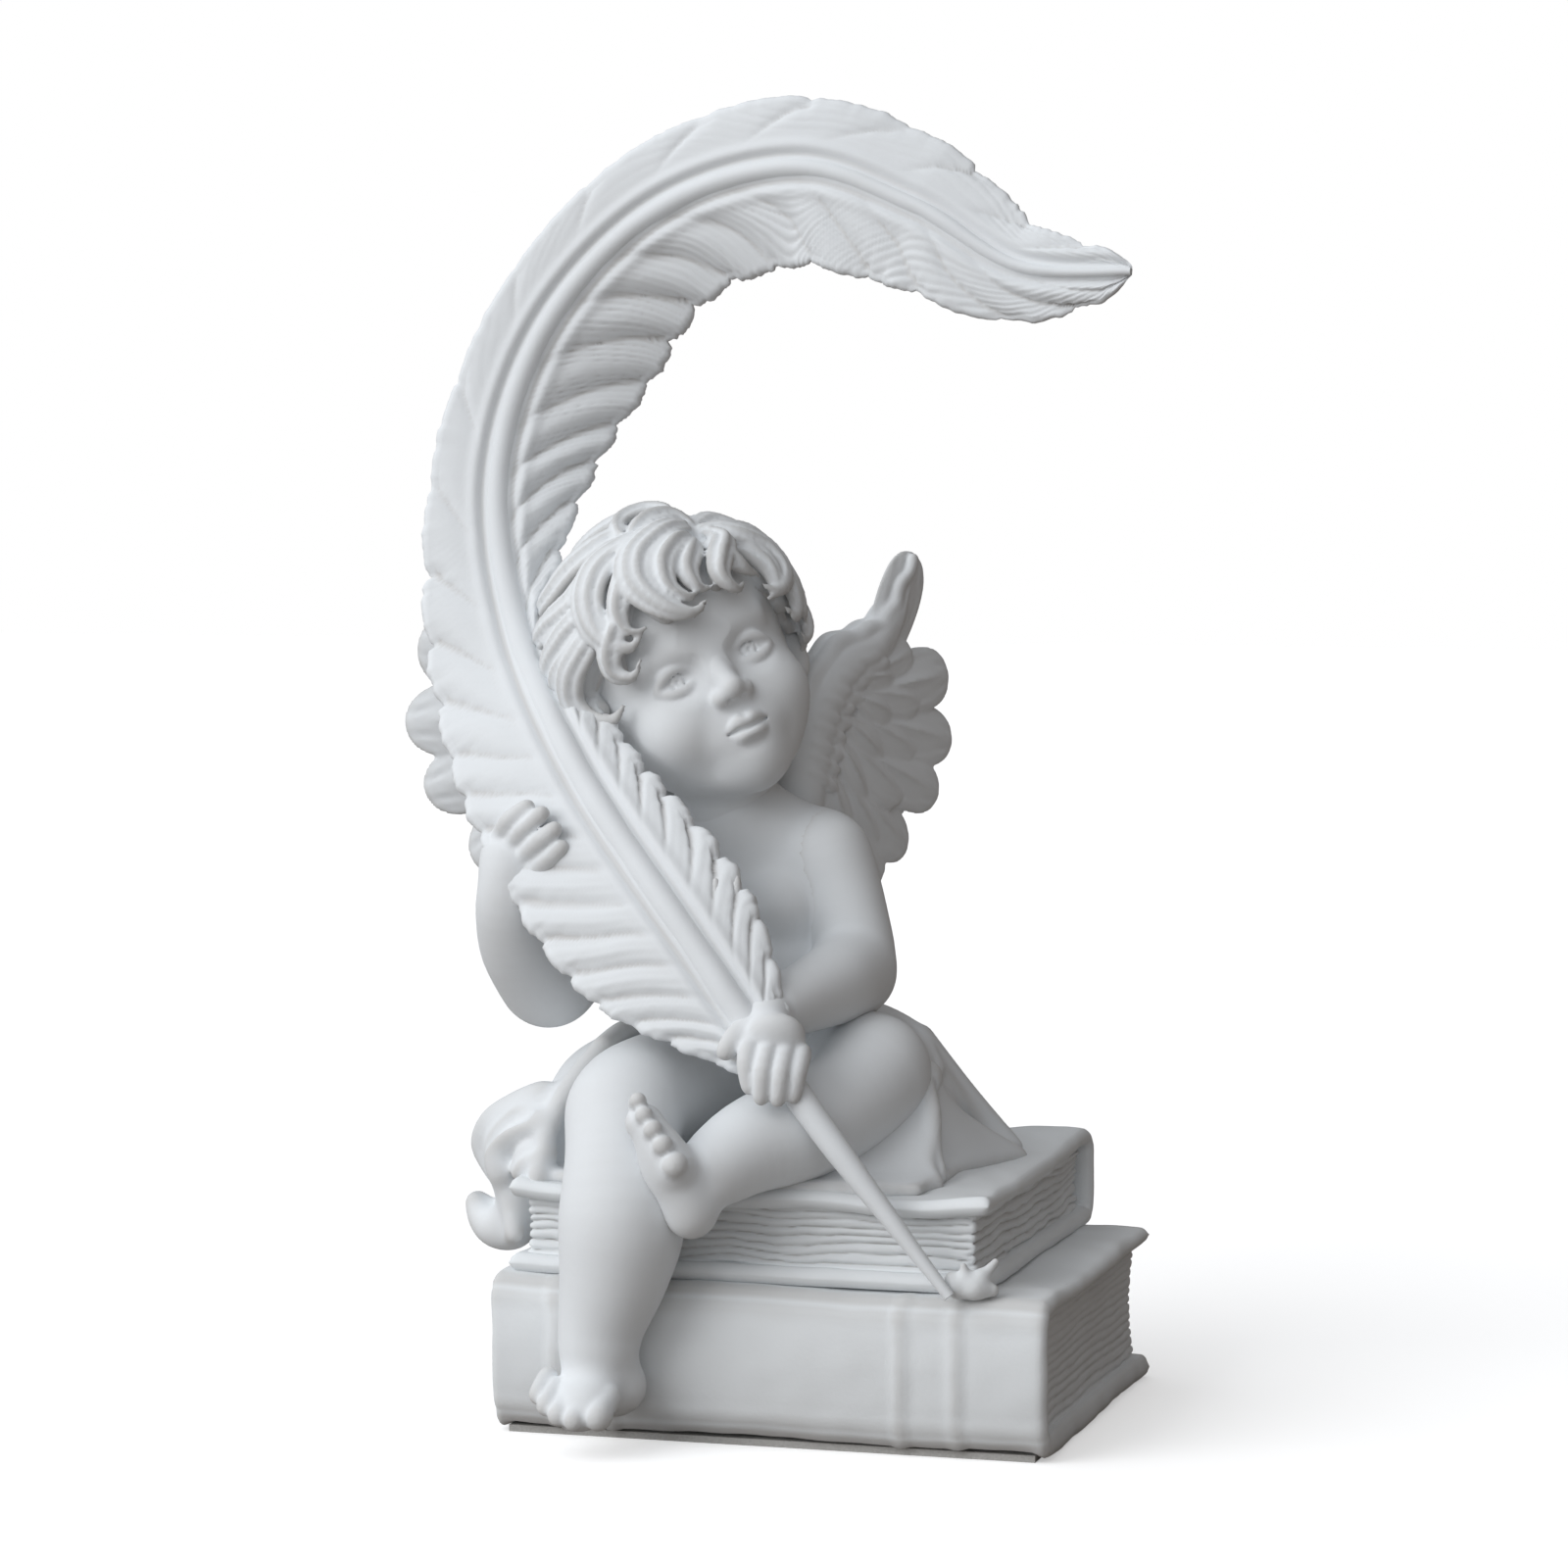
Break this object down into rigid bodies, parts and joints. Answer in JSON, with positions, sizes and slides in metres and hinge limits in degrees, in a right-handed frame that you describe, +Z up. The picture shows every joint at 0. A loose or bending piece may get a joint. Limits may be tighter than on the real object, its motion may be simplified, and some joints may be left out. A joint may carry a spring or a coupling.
{
  "type": "resin angel figurine",
  "caption": "White resin figurine of a winged child seated on two closed books, hugging a tall quill feather that arches over its head.",
  "frame": {"origin": "centre of the felt underside, on the surface the figurine stands on", "axes": "+Z up, +X to the viewer's right along the spine of the lower book, -Y towards the front, where the figure faces and the quill's point rests"},
  "size_m": [0.1147, 0.0951, 0.1934],
  "materials": {
    "figure_resin": "cast polyresin under matte white paint",
    "book_resin": "cast polyresin under matte white paint",
    "feather_resin": "cast polyresin under matte white paint",
    "plumage_resin": "cast polyresin under matte white paint",
    "felt": "dark green felt sheet, assumed",
    "wire": "plain drawn steel wire"
  },
  "bodies": {
    "root": {"base_felt": "felt", "lower_book_cover": "book_resin", "lower_book_pages": "book_resin", "upper_book_cover": "book_resin", "upper_book_pages": "book_resin", "seat_drape": "figure_resin", "torso": "figure_resin", "head": "figure_resin", "hair": "plumage_resin", "right_arm": "figure_resin", "left_arm": "figure_resin", "right_leg": "figure_resin", "left_leg": "figure_resin", "right_wing": "plumage_resin", "left_wing": "plumage_resin", "feather_shaft": "feather_resin", "outer_vane": "feather_resin", "inner_vane": "feather_resin", "feather_wire": "wire"}
  },
  "joints": []
}
